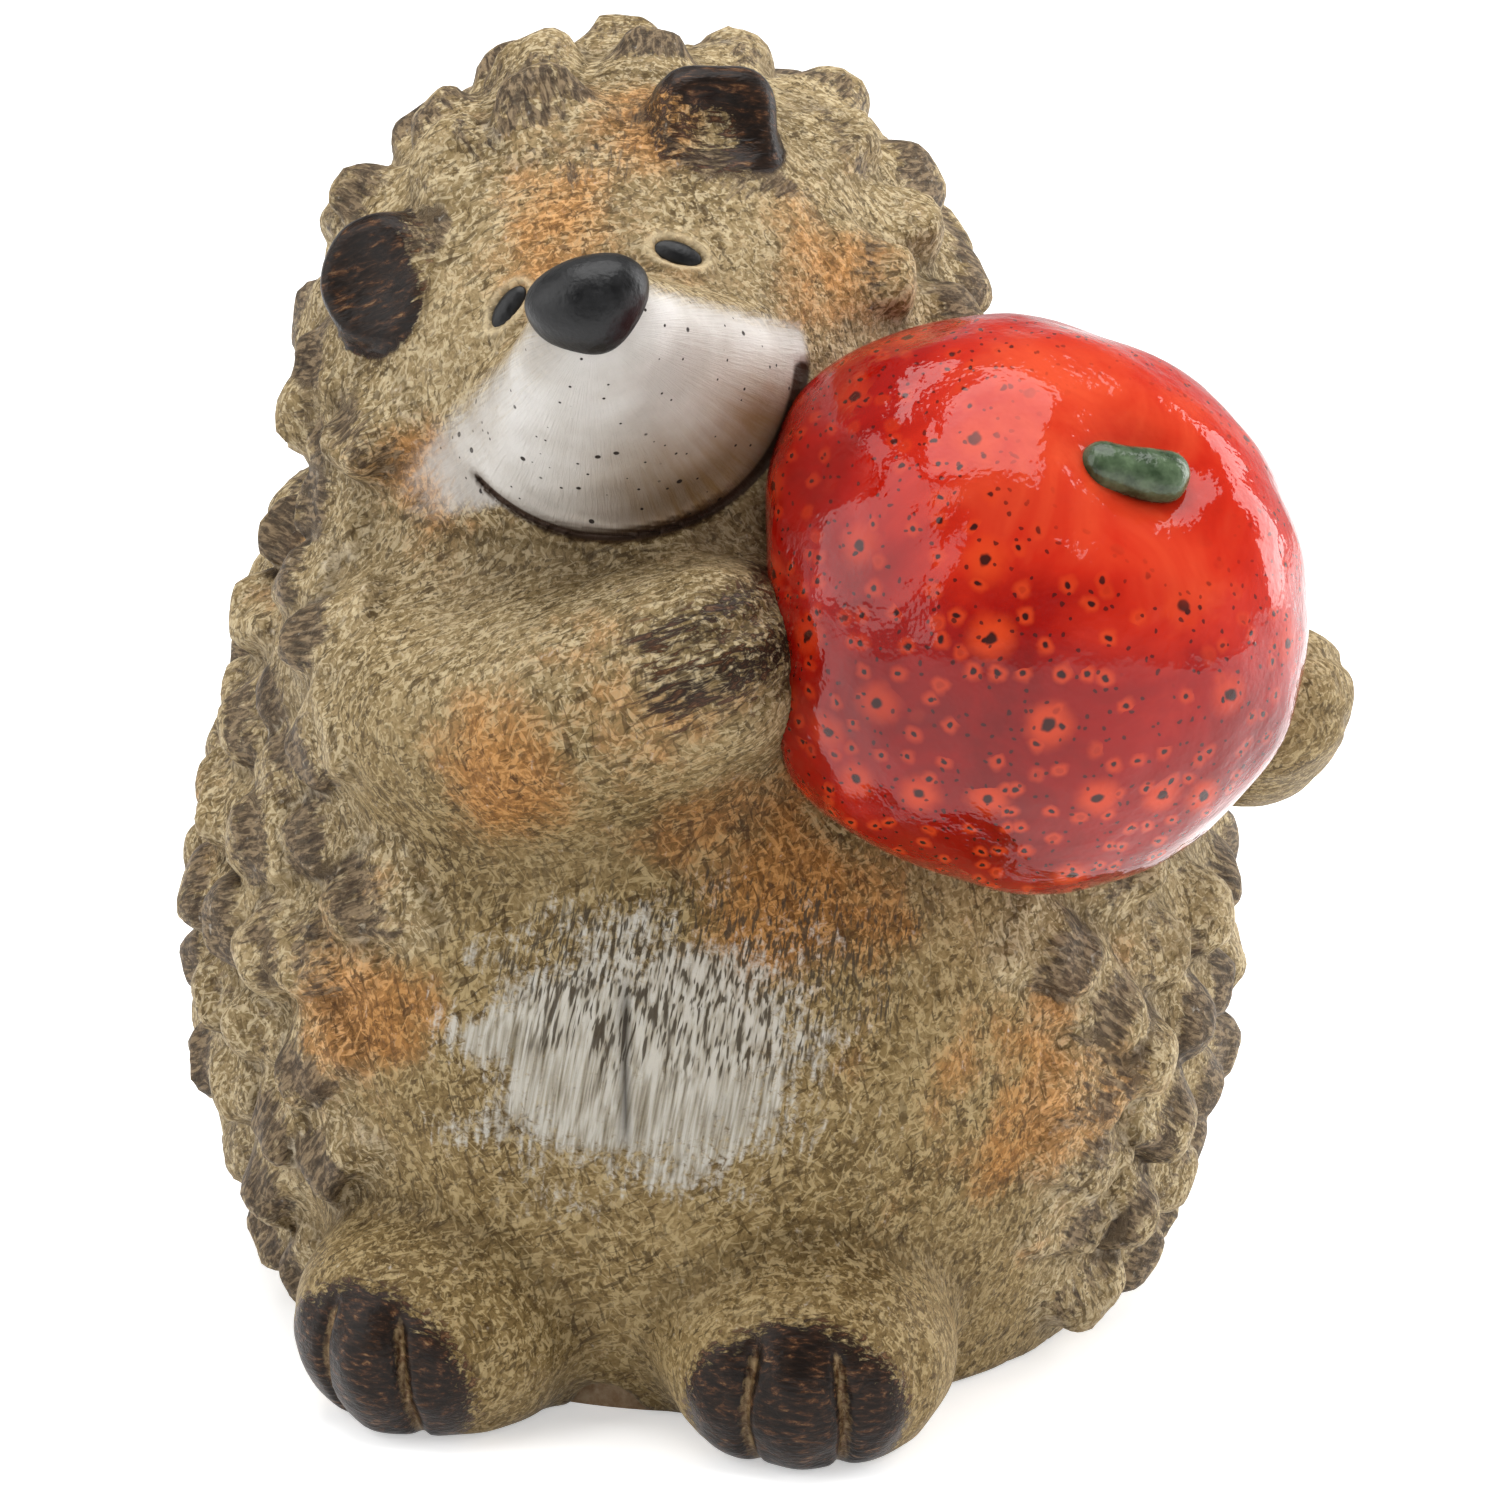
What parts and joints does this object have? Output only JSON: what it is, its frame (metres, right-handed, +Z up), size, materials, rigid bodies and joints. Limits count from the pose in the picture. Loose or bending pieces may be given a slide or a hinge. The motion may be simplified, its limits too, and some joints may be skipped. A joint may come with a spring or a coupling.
{
  "type": "hedgehog figurine",
  "caption": "Ceramic hedgehog figurine that sits upright, smiles and hugs a large glazed red apple; a free-standing ornament.",
  "frame": {"origin": "middle of the flat base, on the floor", "axes": "+Z up; the figure faces -Y; +X is the figure's own left, the side of the apple"},
  "size_m": [0.1647, 0.1574, 0.1791],
  "materials": {
    "brushed_clay": "brushed, satin",
    "white_slip": "satin, speckled",
    "black_glaze": "satin",
    "red_glaze": "gloss, mottled",
    "green_glaze": "gloss",
    "raw_clay": "matt, unglazed"
  },
  "bodies": {
    "root": {"apple": "red_glaze", "apple_stem": "green_glaze", "arm_left": "brushed_clay", "arm_right": "brushed_clay", "back_shell": "brushed_clay", "base_slab": "raw_clay", "belly_shell": "brushed_clay", "ear_left": "brushed_clay", "ear_right": "brushed_clay", "eye_left": "black_glaze", "eye_right": "black_glaze", "face_shell": "brushed_clay", "foot_left": "brushed_clay", "foot_right": "brushed_clay", "muzzle": "white_slip", "nose": "black_glaze"}
  },
  "joints": []
}
